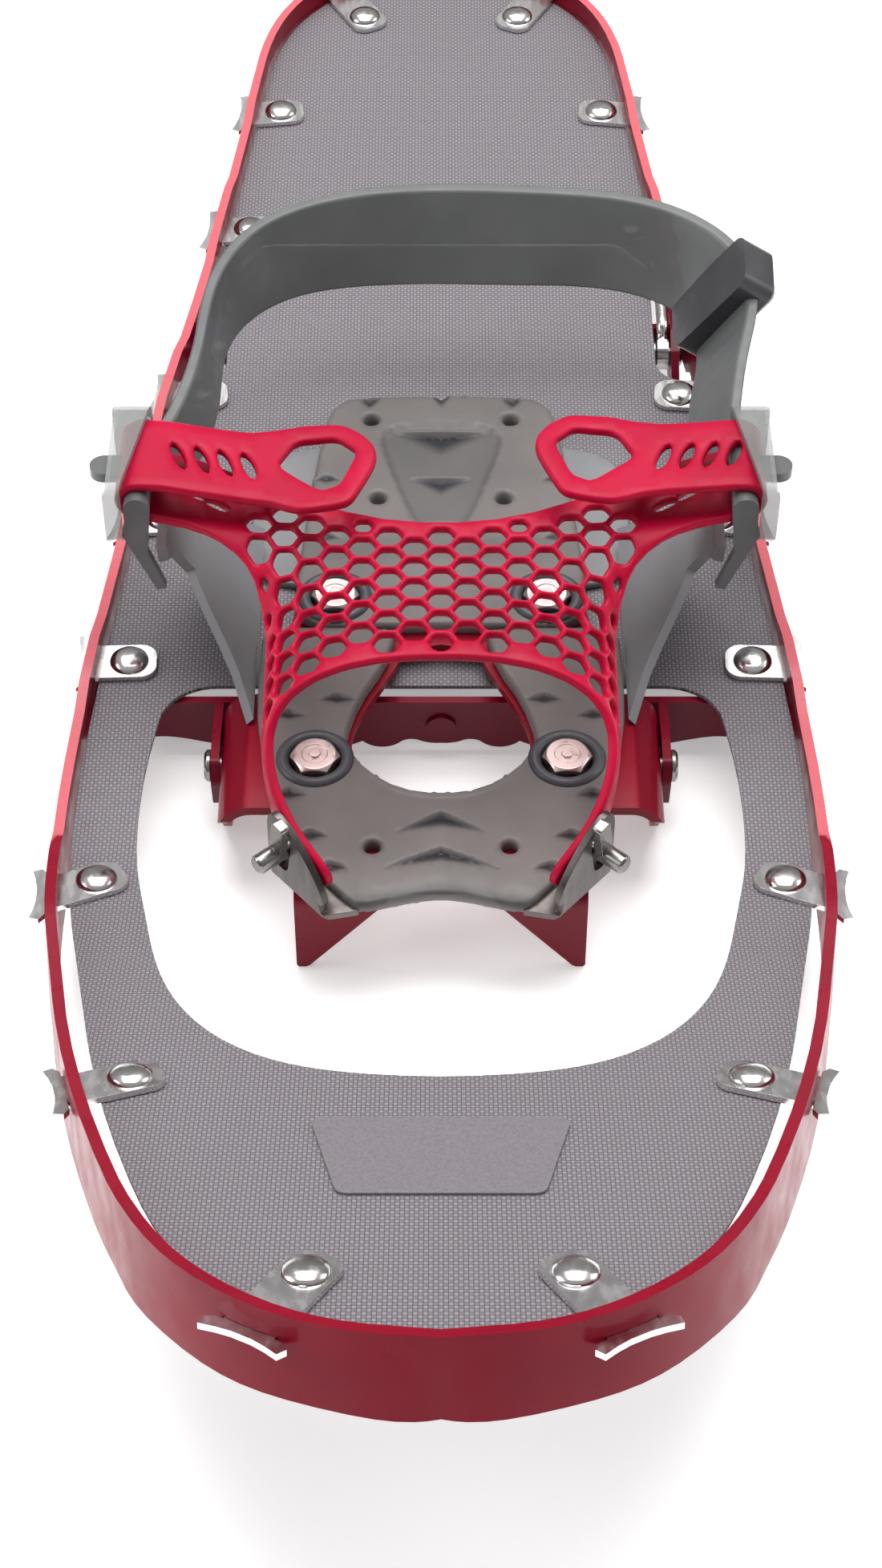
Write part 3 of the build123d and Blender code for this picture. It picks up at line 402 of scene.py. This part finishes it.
def plate_loops(outline, holes, spacing, rim):
    """Border points, constraint edges and thickness shares of a plate with a rounded rim."""
    points, edges, lifts = [], [], []
    for index, loop in enumerate([outline] + holes):
        fine = resample(loop, spacing)
        if (area_of(fine) > 0) != (index == 0):
            fine.reverse()
        for depth, lift in RIM_STEPS:
            first = len(points)
            points += inset(fine, depth * rim)
            lifts += [lift] * len(fine)
            if depth == 0:
                edges += [(first + i, first + (i + 1) % len(fine)) for i in range(len(fine))]
    return points, edges, lifts


CREASE_STEPS = 6


def crease_points(crease):
    points = []
    for start, end in zip(crease, crease[1:]):
        points += [start.lerp(end, step / CREASE_STEPS) for step in range(CREASE_STEPS)]
    return points + [crease[-1]]


def plate_mesh(name, outline, holes, surface, spacing, rim, grid=None, tone=None, creases=()):
    """Sheet with holes and rounded rims: surface(u, v) gives its lower and upper points."""
    outline = [Vector(point) for point in outline]
    holes = [[Vector(point) for point in hole] for hole in holes]
    points, edges, lifts = plate_loops(outline, holes, spacing, rim)
    for crease in creases:
        first = len(points)
        fine = crease_points(crease)
        points += fine
        lifts += [1.0] * len(fine)
        edges += [(first + i, first + i + 1) for i in range(len(fine) - 1)]
    near = KDTree(len(points))
    for index, point in enumerate(points):
        near.insert((point.x, point.y, 0), index)
    near.balance()
    step = grid or spacing
    low = Vector((min(p.x for p in points), min(p.y for p in points)))
    high = Vector((max(p.x for p in points), max(p.y for p in points)))
    for row in range(int((high.y - low.y) / step) + 1):
        for column in range(int((high.x - low.x) / step) + 1):
            point = Vector((low.x + (column + 0.5 * (row % 2)) * step, low.y + row * step))
            if near.find((point.x, point.y, 0))[2] > 0.6 * step:
                points.append(point)
                lifts.append(1.0)
    verts, _, faces, origins, _, _ = delaunay_2d_cdt(points, edges, [], 1, 1e-4)
    kept = []
    for face in faces:
        middle = sum((verts[i] for i in face), Vector((0, 0))) / 3
        if not in_a_hole(middle, holes):
            kept.append(face)
    made_lifts = [lifts[origin[0]] if origin else 1.0 for origin in origins]
    return thicken(name, verts, kept, made_lifts, surface, tone)


def in_a_hole(point, holes):
    for hole in holes:
        reach = max((corner - hole[0]).length for corner in hole)
        if (point - hole[0]).length <= reach and inside(point, hole):
            return True
    return False


def thicken(name, flat, faces, lifts, surface, tone):
    """Mesh of a flat triangulation's two sides and its walls."""
    used = sorted({index for face in faces for index in face})
    order = {index: place for place, index in enumerate(used)}
    lower, upper = [], []
    for index in used:
        below, above = surface(flat[index].x, flat[index].y)
        middle = (below + above) / 2
        half = (above - below) / 2 * lifts[index]
        lower.append((middle - half) * MM)
        upper.append((middle + half) * MM)
    count = len(used)
    top = [tuple(order[i] for i in face) for face in faces]
    sides = {(a, b) for face in top for a, b in zip(face, face[1:] + face[:1])}
    walls = [(b, a, a + count, b + count) for a, b in sides if (b, a) not in sides]
    bottom = [tuple(i + count for i in reversed(face)) for face in top]
    mesh = bpy.data.meshes.new(name)
    mesh.from_pydata(upper + lower, [], top + bottom + sorted(walls))
    mesh.shade_smooth()
    # painted shade: each upper point's share of darkening, read by the rubber material
    if tone:
        shares = [tone(flat[index].x, flat[index].y) for index in used]
        painted_hollow_shade = mesh.attributes.new("painted_hollow_shade", "FLOAT", "POINT")
        painted_hollow_shade.data.foreach_set("value", shares + [0.0] * count)
    return mesh


def polygon_distance(point, loop):
    """Distance from a point to a closed polygon's sides."""
    best = 1e9
    for start, end in zip(loop, loop[1:] + loop[:1]):
        run = end - start
        part = min(max((point - start).dot(run) / max(run.length_squared, 1e-9), 0), 1)
        best = min(best, (start + run * part - point).length)
    return best


def inside(point, loop):
    odd = False
    for start, end in zip(loop, loop[1:] + loop[:1]):
        if (start.y > point.y) != (end.y > point.y):
            if point.x < start.x + (point.y - start.y) / (end.y - start.y) * (end.x - start.x):
                odd = not odd
    return odd


def ease(value, low, high):
    """Smooth step from 0 at low to 1 at high."""
    part = min(max((value - low) / (high - low), 0), 1)
    return part * part * (3 - 2 * part)


class Line:
    """A line through points, rounded, with its points found by distance."""

    def __init__(self, points, rounds=2):
        points = [Vector(point) for point in points]
        for _ in range(rounds):
            cut = [points[0]]
            for start, end in zip(points, points[1:]):
                cut += [start.lerp(end, 0.25), start.lerp(end, 0.75)]
            points = cut + [points[-1]]
        self.points = points
        self.marks = [0.0]
        for start, end in zip(points, points[1:]):
            self.marks.append(self.marks[-1] + (end - start).length)

    def at(self, distance):
        for index in range(1, len(self.marks)):
            if distance <= self.marks[index] or index == len(self.marks) - 1:
                span = max(self.marks[index] - self.marks[index - 1], 1e-9)
                part = (distance - self.marks[index - 1]) / span
                return self.points[index - 1].lerp(self.points[index], part)


# ---- forefoot net ----
NET_T = 2.6
POST = (80.0, 84.1)      # strap post's centre, across and up
WRAP_R = 5.1
STRAP_MIDDLE = -26.5     # strap's middle along the shoe
STRAP_HALF = 13.3        # half its width
ARCH = Line([(0, 74.5), (15, 74.4), (28, 72.8), (37, 69.6), (42.7, 64.8), (45, 58), (45, 48),
             (44, 40), (42.5, 34), (40, 27)])
WRAP = [(POST[0] + WRAP_R * math.sin(a), POST[1] - WRAP_R * math.cos(a))
        for a in (0.15, 0.8, math.pi / 2, 2.34, 2.99)]
STRAP = Line([(0, 74.5), (20, 74.5), (46, 75.4), (60, 76.1), (72, 77.6), *WRAP, (68, 88.1),
              (46, 86.3), (19, 87.9), (5, 88.9)], 1)
TIPS = {1: (25.0, 2.0), -1: (17.0, -3.0)}    # each pull loop's tip: across, and its shift along
CLOSE_IN = 15.5          # how far the net's front ends draw in
CELL_ACROSS = 6.9        # from one column of cells to the next
CELL_ALONG = 7.97        # from one row to the next
CELL_R = 3.8
CELL_R_LEAST = 1.4
CELL_WALL = 1.7          # least wall beside the net's edge
CELLS_REAR = -35.6
CELLS_FRONT = -104


def strap_distance(across):
    """Distance along the strap's line to a place on its upper run."""
    low = STRAP.marks[-1] * 0.6
    high = STRAP.marks[-1]
    for _ in range(30):
        middle = (low + high) / 2
        if STRAP.at(middle).x > across:
            low = middle
        else:
            high = middle
    return low


FOLD = strap_distance(79.0)


def net_middle(s, y):
    """Point of the net's middle surface: s is across from its middle, y is along the shoe."""
    side = 1 if s >= 0 else -1
    s = abs(s)
    on_strap = 1.0 if s > 80 else ease(y, -70, -42)
    arch = ARCH.at(min(s, 82))
    strap = STRAP.at(s)
    point = arch.lerp(strap, on_strap)
    closing = min(max((-96 - y) / 36, 0), 1.1)
    across = point.x - CLOSE_IN * closing ** 2.4 * (1 - on_strap) * ease(s, 20, 50)
    tip, shift = TIPS[side]
    along = y + shift * min(max((s - FOLD) / (strap_distance(tip) - FOLD), 0), 1)
    sag = 1.6 * math.sin(min(max((s - FOLD) / 60, 0), 1) * math.pi) * (1 if side < 0 else 0.4)
    return Vector((side * across, along, point.y - sag))


def surface_of(middle, thickness):
    """Lower and upper points of a sheet about a middle surface."""
    def both(u, v):
        here = middle(u, v)
        across = middle(u + 0.2, v) - middle(u - 0.2, v)
        along = middle(u, v + 0.2) - middle(u, v - 0.2)
        normal = across.cross(along)
        lift = normal.normalized() * thickness / 2
        return here - lift, here + lift
    return both


LOOP_REAR = [(0, 6), (3.4, 12), (9.6, 17), (20, 17), (29, 14.5), (35, STRAP_HALF)]
LOOP_FRONT = [(0.4, 0), (4.1, -9), (7, -15), (20, -17), (30, -STRAP_HALF)]
LOOP_HOLE = [(21.9, 10.5), (11, 11.5), (5.1, 5.3), (9.6, -7.5), (14.7, -9.5), (26.7, 0.8)]


def net_side_outline(side):
    """Half of the net's outline, from the front's middle round the strap to the rear's middle."""
    end = strap_distance(TIPS[side][0])
    front = [(0, -88), (20, -89.5), (36, -94), (46, -101), (53, -111), (60, -122), (65, -130),
             (69, -132.5), (73, -132), (76.5, -128), (77, -121), (73, -112), (66, -100), (59, -86),
             (54, -72), (51, -61), (52, -52), (57, -46.5), (65, -42), (75, -40.2), (90, -39.8),
             (FOLD, -39.8)]
    loop = crisp([(end - e, STRAP_MIDDLE + v) for e, v in LOOP_FRONT[::-1] + LOOP_REAR], 1.6)
    rear = [(FOLD, -13.2), (90, -13.2), (78, -13.2), (68, -14.5), (58, -18.5), (40, -28), (20, -36),
            (0, -38.5)]
    return [(side * s, y) for s, y in front + loop + rear]


def circle_loop(centre, radius, count):
    turns = [step * 2 * math.pi / count for step in range(count)]
    return [(centre[0] + radius * math.cos(turn), centre[1] + radius * math.sin(turn)) for turn in turns]


def hexagon(centre, radius):
    return smooth_loop(circle_loop(centre, radius, 6), 1, 0.14)


def net_cells(outline):
    """Hexagonal cells over the arch and down both walls, smaller beside the edges."""
    cells = []
    for column in range(-7, 8):
        for row in range(9):
            place = row + 0.5 * (column % 2)
            centre = Vector((column * CELL_ACROSS, CELLS_REAR - place * CELL_ALONG))
            room = polygon_distance(centre, outline) if inside(centre, outline) else 0
            radius = min(CELL_R, room - CELL_WALL)
            if radius > CELL_R_LEAST and centre.y > CELLS_FRONT:
                cells.append(hexagon(centre, radius))
    return cells


def slot_hole(centre, half_length, half_width, turn):
    """Long rounded hole, turned by an angle from the y axis."""
    points = []
    for angle in range(0, 360, 30):
        rise = math.sin(math.radians(angle))
        x = half_width * math.cos(math.radians(angle))
        y = half_length * rise * (1.0 if abs(rise) > 0.9 else 0.97)
        points.append((centre[0] + x * math.cos(turn) - y * math.sin(turn),
                       centre[1] + x * math.sin(turn) + y * math.cos(turn)))
    return points


SLOT_COUNT = 4
SLOT_FIRST = 34.2        # from the strap's tip to its first adjusting slot
SLOT_PITCH = 6.2
POST_SLOT = 88.4         # the post's slot, along the strap's line
LOWER_SLOTS = ((60, -33, 4.2), (66.5, -29, 5.0))    # across, along, and half length


def strap_holes(side):
    """Holes of one strap: its pull loop, oval adjusting slots, the post's slot and the lower slots."""
    end = strap_distance(TIPS[side][0])
    holes = [smooth_loop([(side * (end - e), STRAP_MIDDLE + v) for e, v in LOOP_HOLE], 2, 0.13)]
    for index in range(SLOT_COUNT):
        centre = (side * (end - SLOT_FIRST - SLOT_PITCH * index), STRAP_MIDDLE)
        holes.append(slot_hole(centre, 5.4, 1.55, side * math.radians(20)))
    holes.append(slot_hole((side * POST_SLOT, STRAP_MIDDLE), 4.6, 2.4, 0))
    for s, y, half in LOWER_SLOTS:
        holes.append(slot_hole((side * s, y), half, 1.3, side * math.radians(-58)))
    return holes


def make_net():
    right = net_side_outline(1)
    left = net_side_outline(-1)
    outline = smooth_loop(right + left[-2:0:-1], 1)
    holes = net_cells(outline) + strap_holes(1) + strap_holes(-1)
    mesh = plate_mesh("forefoot_net_skin", outline, holes, surface_of(net_middle, NET_T), 1.7, 0.85, 2.3)
    return make_piece("forefoot_net_skin", mesh, "binding", "net", ["forefoot_net"])


# ---- pads ----
PAD_LOW = 28.8
PAD_TOP = 33.2
HEEL_LOW = 23.0
HEEL_TOP = 31.6
BASE_TOP = 25.3
BOLTS_FRONT = [(33.5, -84.5), (-33.5, -84.5)]
BOLTS_REAR = [(29.6, -22.5), (-29.6, -22.5)]
BOLT_WELL_R = 6.9
SMALL_HOLE_R = 2.1
SMALL_HOLES_FRONT = [(-17.8, -115.5), (17.8, -115.5)]
SMALL_HOLES_REAR = [(-20.8, 56), (20.8, 56), (-18.3, 21), (18.3, 21)]


def both_sides(half):
    """Close a right-hand outline, which starts and ends on the middle line, with its mirror image."""
    return half + [(-x, y) for x, y in reversed(half[1:-1])]


def wedge(x, y, apex, width, depth, drop):
    """Sunk facet: a sharp V or level edge on its rear side, its floor rising to the front."""
    across = abs(x - apex[0]) / width
    if across >= 1:
        return 0.0
    rear = apex[1] - across * depth[0]
    run = (rear - y) / (depth[1] * (1 - across) + 0.01)
    return drop * (1 - across) * max(0.0, 1 - run) if 0 <= run <= 1 else 0.0


# Each facet: its peak, half width, fall to the sides and run to the front, and drop.
SIDE_SPOTS = ((28, -60, 5.5), (41, -66, 5), (40, -95, 5), (34, -109.5, 5), (28.5, -120.5, 5))
FOREFOOT_WEDGES = [((0, -103.2), 12.5, (7.6, 5.5), 2.2), ((0, -115.8), 16, (7.4, 4.8), 2.0)]
FOREFOOT_WEDGES += [((side * x, y), width, (2.6, 4.4), 2.0) for side in (-1, 1) for x, y, width in SIDE_SPOTS]
HEEL_WEDGES = [
    ((0, 51), 15.1, (0.3, 10.4), 2.6), ((0, 30.3), 9.6, (0.3, 7.2), 2.0),
    ((0, 10.8), 5, (0.2, 4.2), 1.6), ((-21.5, 66), 3.4, (0.8, 5.5), 1.8),
    ((0, 67.2), 3.2, (0.8, 5.5), 1.8), ((21.5, 66), 3.4, (0.8, 5.5), 1.8),
    ((-33.5, 31), 4.5, (2.5, 4), 1.3), ((33.5, 31), 4.5, (2.5, 4), 1.3),
    ((-33, 6), 4.5, (2.5, 4), 1.3), ((33, 6), 4.5, (2.5, 4), 1.3),
]
HEEL_RECESS = smooth_loop(both_sides([(0, 54.6), (14, 54), (18, 49), (17.8, 44), (13.5, 28),
                                      (9.8, 16), (7, 9.5), (3, 6.2), (0, 5.6)]), 1)


def wedge_creases(wedges):
    """Both sides of each facet's sharp rear edge, and its front edge."""
    lines = []
    for place, width, reach, _ in wedges:
        left = Vector((place[0] - width, place[1] - reach[0]))
        right = Vector((place[0] + width, place[1] - reach[0]))
        peak = Vector(place)
        for shift in (0.05, -0.3):
            lines.append([point + Vector((0, shift)) for point in (left, peak, right)])
        lines.append([left, peak - Vector((0, reach[1])), right])
    return lines


def facet_painted_shade(wedges, x, y):
    """Painted shade of a pad in its sunk facets, from 0 to 1."""
    deepest = max(wedge(x, y, place, width, reach, 1.0) for place, width, reach, _ in wedges)
    return min(1.0, 1.5 * deepest ** 0.6)


def forefoot_painted_shade(x, y):
    # painted shade in the sunk facets, and on the dropped front lip
    return max(facet_painted_shade(FOREFOOT_WEDGES, x, y), 0.55 * ease(-(y + 0.22 * abs(x)), 126.5, 129.5))


def heel_painted_shade(x, y):
    # painted shade in the heel's sunk recess
    sunk = 0.3 if inside(Vector((x, y)), HEEL_RECESS) else 0.0
    return max(facet_painted_shade(HEEL_WEDGES, x, y), sunk)


def forefoot_surface(x, y):
    top = PAD_TOP
    for place, width, depth, drop in FOREFOOT_WEDGES:
        top -= wedge(x, y, place, width, depth, drop)
    lip = ease(-(y + 0.22 * abs(x)), 125, 129.5)
    return Vector((x, y, PAD_LOW)), Vector((x, y, top - 0.5 * lip))


def heel_surface(x, y):
    over_deck = ease(y, -13, -10)
    rear = ease(y, -8, 5)
    top = PAD_TOP + (HEEL_TOP - PAD_TOP) * rear
    point = Vector((x, y))
    depth = polygon_distance(point, HEEL_RECESS)
    top -= 0.9 * ease(depth, 0, 1.1) if inside(point, HEEL_RECESS) else 0
    for place, width, reach, drop in HEEL_WEDGES:
        top -= wedge(x, y, place, width, reach, drop)
    low = PAD_LOW + (HEEL_LOW - PAD_LOW) * over_deck
    return Vector((x, y, low)), Vector((x, y, top))


def base_surface(x, y):
    return Vector((x, y, HEEL_LOW)), Vector((x, y, BASE_TOP))


# Section of the lip round each bolt's well: distance from the bolt, and height.
RING = [(6.8, 31.4), (6.9, 33.2), (7.5, 34.1), (8.5, 34.5), (9.6, 34.2), (10.4, 33.3), (10.4, 32.4),
        (8.6, 31.2)]
RING_STEPS = 48


def make_rings(spots, name):
    """Raised dark lip round each bolt's well, turned about the bolt."""
    verts, faces = [], []
    size = len(RING)
    for spot in spots:
        first = len(verts)
        for step in range(RING_STEPS):
            turn = 2 * math.pi * step / RING_STEPS
            for r, z in RING:
                point = Vector((spot[0] + r * math.cos(turn), spot[1] + r * math.sin(turn), z))
                verts.append(point * MM)
        for step in range(RING_STEPS):
            here = first + step * size
            there = first + (step + 1) % RING_STEPS * size
            for i in range(size):
                after = (i + 1) % size
                faces.append((here + i, there + i, there + after, here + after))
    mesh = bpy.data.meshes.new(name)
    mesh.from_pydata(verts, [], faces)
    work = bmesh.new()
    work.from_mesh(mesh)
    bmesh.ops.recalc_face_normals(work, faces=work.faces)
    work.to_mesh(mesh)
    work.free()
    mesh.shade_smooth()
    make_piece(name, mesh, "binding", "ring", [])


def round_holes(bolts, small):
    """Loops of a pad's bolt wells and small round holes."""
    holes = [circle_loop(spot, BOLT_WELL_R, 24) for spot in bolts]
    return holes + [circle_loop(spot, SMALL_HOLE_R, 14) for spot in small]


def make_pad(name, outline, holes, surface, tone, wedges, node):
    """A pad of smoky rubber with sunk facets, which stands for a CAD pad."""
    mesh = plate_mesh(name, outline, holes, surface, 1.6, 1.0, 1.2, tone, wedge_creases(wedges))
    make_piece(name, mesh, "binding", "pad", [node])


def make_forefoot_pad():
    half = [(0, -130.6), (7, -131.6), (14, -133.6), (20.5, -135), (23.5, -134), (36, -119.5),
            (41.8, -110), (45, -94), (49.2, -74), (50, -54), (49.4, -34), (13.6, -34.2),
            (12.6, -37.4), (15.1, -48), (22.1, -62), (25.6, -76), (24.6, -80), (19.8, -88),
            (11, -94.6), (0, -96.6)]
    outline = smooth_loop(both_sides(half), 1)
    make_pad("forefoot_pad_skin", outline, round_holes(BOLTS_FRONT, SMALL_HOLES_FRONT), forefoot_surface,
             forefoot_painted_shade, FOREFOOT_WEDGES, "forefoot_pad")


def make_heel_pad():
    half = [(0, -33), (13, -33.4), (39.8, -33.4), (41, -14), (38, 26), (34.5, 56), (32, 63), (26, 67),
            (0, 67.6)]
    outline = smooth_loop(both_sides(half), 1)
    make_pad("heel_pad_skin", outline, round_holes(BOLTS_REAR, SMALL_HOLES_REAR), heel_surface, heel_painted_shade,
             HEEL_WEDGES[:3] + HEEL_WEDGES[6:], "heel_pad")


def make_heel_base():
    """The thin plate under the heel pad, wider than the pad."""
    outline = smooth_loop([(-52, -12), (52, -12), (55, 10), (55, 36), (50, 47), (34, 52), (-34, 52),
                           (-50, 47), (-55, 36), (-55, 10)], 2)
    mesh = plate_mesh("heel_base_skin", outline, [], base_surface, 2.0, 0.8)
    make_piece("heel_base_skin", mesh, "binding", "wing", ["heel_pad"])


# ---- CAD nodes shown with rounded edges: node, body, slot, material, and the rounding's width ----
ROUNDED = [
    ("frame_rail", "frame", "frame_red", "frame", 0.35),
    ("deck_clips", "frame", "clip_steel", "clip", 0.4),
    ("deck_rivets", "frame", "rivet_steel", "rivet", 0),
    ("front_crossbar", "frame", "crossbar_red", "bar", 0.5),
    ("rear_crossbar", "frame", "crossbar_red", "bar", 0.45),
    ("crossbar_rivets", "frame", "rivet_steel", "rivet", 0.25),
    ("lifter_pins", "frame", "pin_steel", "pin", 0.3),
    ("toe_patch", "frame", "patch_dark", "patch", 0.25),
    ("crampon", "binding", "crampon_red", "crampon", 0.6),
    ("pivot_pins", "binding", "pin_steel", "pin", 0.3),
    ("toe_bracket_right", "binding", "bracket_steel", "bracket", 0.5),
    ("toe_bracket_left", "binding", "bracket_steel", "bracket", 0.5),
    ("toe_pin_right", "toe_pin_r", "pin_steel", "pin", 0.4),
    ("toe_pin_left", "toe_pin_l", "pin_steel", "pin", 0.4),
    ("pad_bolts", "binding", "bolt_steel", "bolt", 0.4),
    ("pad_nuts", "binding", "bolt_steel", "bolt", 0.3),
    ("side_wing_right", "binding", "wing_grey", "wing", 0.9),
    ("side_wing_left", "binding", "wing_grey", "wing", 0.9),
    ("strap_post_right", "binding", "keeper_grey", "strap", 0.7),
    ("strap_post_left", "binding", "keeper_grey", "strap", 0.7),
    ("strap_keeper_right", "binding", "keeper_grey", "keeper", 0.8),
    ("strap_keeper_left", "binding", "keeper_grey", "keeper", 0.8),
    ("heel_strap", "binding", "wing_grey", "strap", 0.9),
    ("heel_buckle", "binding", "buckle_dark", "buckle", 0.8),
    ("heel_lifter", "lifter", "lifter_wire", "wire", 0),
]


def make_deck():
    """The deck's woven sheet: a copy of its CAD node with rounded edges. The real deck is cut from flat cloth
    and held stretched by the clips.
    """
    piece = rounded("deck", "frame", "deck_weave", "deck", 0.15)


make_camera()
make_lights()
make_floor()
for entry in ROUNDED:
    rounded(*entry)
make_deck()
make_net()
make_rings(BOLTS_FRONT, "well_rings_front")
make_rings(BOLTS_REAR, "well_rings_rear")
make_forefoot_pad()
make_heel_pad()
make_heel_base()
